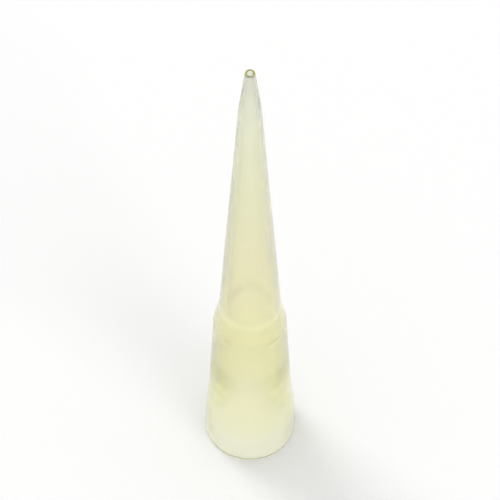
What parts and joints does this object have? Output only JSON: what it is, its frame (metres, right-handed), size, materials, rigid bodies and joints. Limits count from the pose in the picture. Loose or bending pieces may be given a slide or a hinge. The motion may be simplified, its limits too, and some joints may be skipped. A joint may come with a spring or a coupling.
{
  "type": "pipette tip",
  "caption": "Slender hollow tapering plastic tip with a stepped collar, a flared mouth that pushes onto a pipette and a fine orifice.",
  "frame": {"origin": "centre of the mouth's rim, at the bottom, on the surface that the tip stands on", "axes": "+Z along the tip's axis from the wide rim up to the point; X and Y are alike, because the tip is round"},
  "size_m": [0.0068, 0.0068, 0.05],
  "materials": {
    "tip_plastic": "translucent yellow polypropylene, satin moulded surface"
  },
  "bodies": {
    "root": {"tip": "tip_plastic"}
  },
  "joints": []
}
